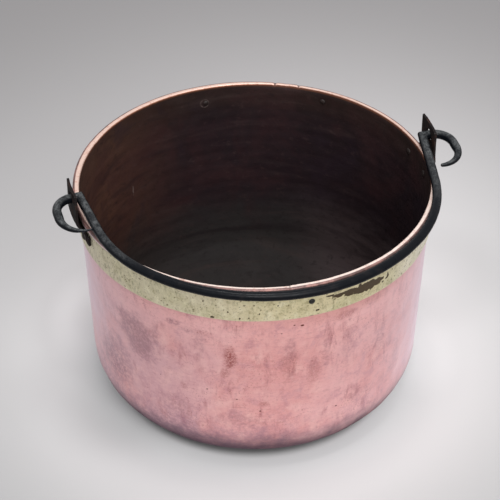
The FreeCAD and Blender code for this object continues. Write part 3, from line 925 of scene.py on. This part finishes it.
rivet_iron = iron_material("rivet iron", (0.012, 0.010, 0.009), (0.030, 0.018, 0.012),
                           brown_share=0.08, roughness=0.45, gloss=0.3,
                           smoked_within=mouth_radius + 0.0005)
riveting = rivet_tree()
for name, (nodes, head_radius, head_height, grip) in rivet_kinds.items():
    pattern = bpy.data.objects.new("rivet_pattern", rivet_mesh(head_radius, head_height, grip))
    rivets = grown(name, rivet_places(nodes, grip), riveting, {
        "Rivet": pattern, "Flat Depth": 0.0002, "Material": rivet_iron})
    bpy.data.objects.remove(pattern)
    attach(rivets, "pot")
    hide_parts(*nodes)

# Bail: one round iron rod, forged and bent cold in one plane. A hoop over the mouth, an elbow and a
# journal at each ear, and a hook drawn down to a taper outside it. It swings in the ears' holes.
bail_voxel = 0.0008
bail_rust = ((-0.0063, -0.2004, 0.2605), 0.0026)
bail_iron = iron_material("bail iron", (0.0035, 0.0042, 0.0060), (0.011, 0.009, 0.010),
                          brown_share=0.04, roughness=0.28, gloss=0.11, grain=0.2,
                          rust_spots=[bail_rust], upper_highlight_beyond=0.150)
iron_bail = grown("iron_bail", joined_copy("bail"), forged, {
    "Flat Width": 0.013, "Flat Depth": 0.00045, "Scale Depth": 0.0001,
    "Material": bail_iron},
    even_skin(bail_voxel))
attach(iron_bail, "bail")
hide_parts("bail")

# Studio: a plain pale floor with a pool of light about the pot, darker and a little warmer towards
# the back and the corners, and soft even light from all round with a wide lamp in front and one
# overhead.
floor_half = 30.0
view_azimuth = math.radians(-17.5)
# The pool of light: centre, stretch across, reach and tone from its middle outward
pool_centre = (0.027, 0.136)
pool_stretch = 1.14
pool_reach = (-1.55, 0.832)
pool_tones = (2.150, 0.271)
brightest = 0.80
# Softer lights and shades: centre, stretch across, inner and outer reach, tone inside. The first
# three lie round the pot, the third of them under its round bottom, and the others beside it.
soft_tones = [((0.0, 0.0), 1.0, 0.150, 0.348, 1.208), ((0.0, 0.0), 1.0, 0.152, 0.200, 1.150),
              ((-0.001, -0.002), 1.0, 0.137, 0.152, 0.30),
              ((-0.135, -0.080), 1.0, 0.020, 0.090, 0.84),
              ((-0.190, 0.082), 2.0, 0.035, 0.105, 1.20),
              ((0.188, 0.020), 2.0, 0.030, 0.090, 1.08), ((0.215, 0.165), 1.0, 0.040, 0.120, 0.91)]


def floor_distance(tree, across, away, centre, stretch):
    """Distance on the floor from a centre; both run across the view and away from the camera."""
    aside = times(tree, maths(tree, "SUBTRACT", across, centre[0]), stretch)
    beyond = maths(tree, "SUBTRACT", away, centre[1])
    square = maths(tree, "MULTIPLY_ADD", aside, aside, times(tree, beyond, beyond))
    return maths(tree, "SQRT", square)


def floor_material():
    """Matt and pale, with its lights and shades painted in, and slightly warmer far away."""
    material, tree, place, shader = surface("studio floor")
    cos_view, sin_view = math.cos(view_azimuth), math.sin(view_azimuth)
    x, y = part(tree, place, "X"), part(tree, place, "Y")
    across = maths(tree, "MULTIPLY_ADD", x, cos_view, times(tree, y, sin_view))
    away = maths(tree, "MULTIPLY_ADD", y, cos_view, times(tree, x, -sin_view))
    pool = floor_distance(tree, across, away, pool_centre, pool_stretch)
    tone = between(tree, pool, *pool_reach, *pool_tones)
    for centre, stretch, inner, outer, gain in soft_tones:
        off = floor_distance(tree, across, away, centre, stretch)
        tone = times(tree, tone, between(tree, off, inner, outer, gain, 1.0))
    tone = maths(tree, "MINIMUM", tone, brightest)
    warm = times(tree, tone, between(tree, away, -0.2, 0.8, 1.005, 1.042))
    colour = add(tree, "ShaderNodeCombineColor", {0: warm, 1: tone, 2: tone}).outputs[0]
    feed(tree, shader, {"Base Color": colour, "Roughness": 0.9, "Specular IOR Level": 0.1})
    return material


floor_mesh = bpy.data.meshes.new("floor")
floor_mesh.from_pydata([(-floor_half, -floor_half, 0), (floor_half, -floor_half, 0),
                        (floor_half, floor_half, 0), (-floor_half, floor_half, 0)],
                       [], [(0, 1, 2, 3)])
floor = bpy.data.objects.new("floor", floor_mesh)
bpy.context.scene.collection.objects.link(floor)
floor.data.materials.append(floor_material())

world = bpy.data.worlds.new("studio")
world.use_nodes = True
feed(world.node_tree, world.node_tree.nodes["Background"], {
    "Color": (0.97, 0.98, 1.0, 1.0), "Strength": 0.78})
bpy.context.scene.world = world


def soft_lamp(name, place, aim, size, power):
    """A square lamp at a place, turned to its aim."""
    lamp = bpy.data.lights.new(name, "AREA")
    lamp.size = size
    lamp.energy = power
    holder = bpy.data.objects.new(name, lamp)
    bpy.context.scene.collection.objects.link(holder)
    holder.location = place
    holder.rotation_euler = (Vector(aim) - Vector(place)).to_track_quat("-Z", "Y").to_euler()


soft_lamp("front", (-0.1, -2.1, 1.7), aim=(0, 0, 0.12), size=1.4, power=46)
soft_lamp("overhead", (0.05, -0.25, 2.2), aim=(0, 0, 0.10), size=0.6, power=16)

# Camera: from the front left and above, with the long lens that fits the photograph. It aims at
# a point inside the pot.
camera_distance = 2.0
camera_elevation = math.radians(34.98)
camera_aim = Vector((0, 0.0162, 0.1452))
camera_data = bpy.data.cameras.new("camera")
camera_data.sensor_width = 36.0
camera_data.lens = 140.29
camera_data.clip_end = 100.0
camera = bpy.data.objects.new("camera", camera_data)
bpy.context.scene.collection.objects.link(camera)
rim_centre = Vector((0, 0, pot_height))
back = Vector((math.sin(view_azimuth) * math.cos(camera_elevation),
               -math.cos(view_azimuth) * math.cos(camera_elevation), math.sin(camera_elevation)))
camera.location = rim_centre + back * camera_distance
camera.rotation_mode = "QUATERNION"
camera.rotation_quaternion = (camera_aim - camera.location).to_track_quat("-Z", "Y")
bpy.context.scene.camera = camera
bpy.context.scene.view_settings.view_transform = "Standard"
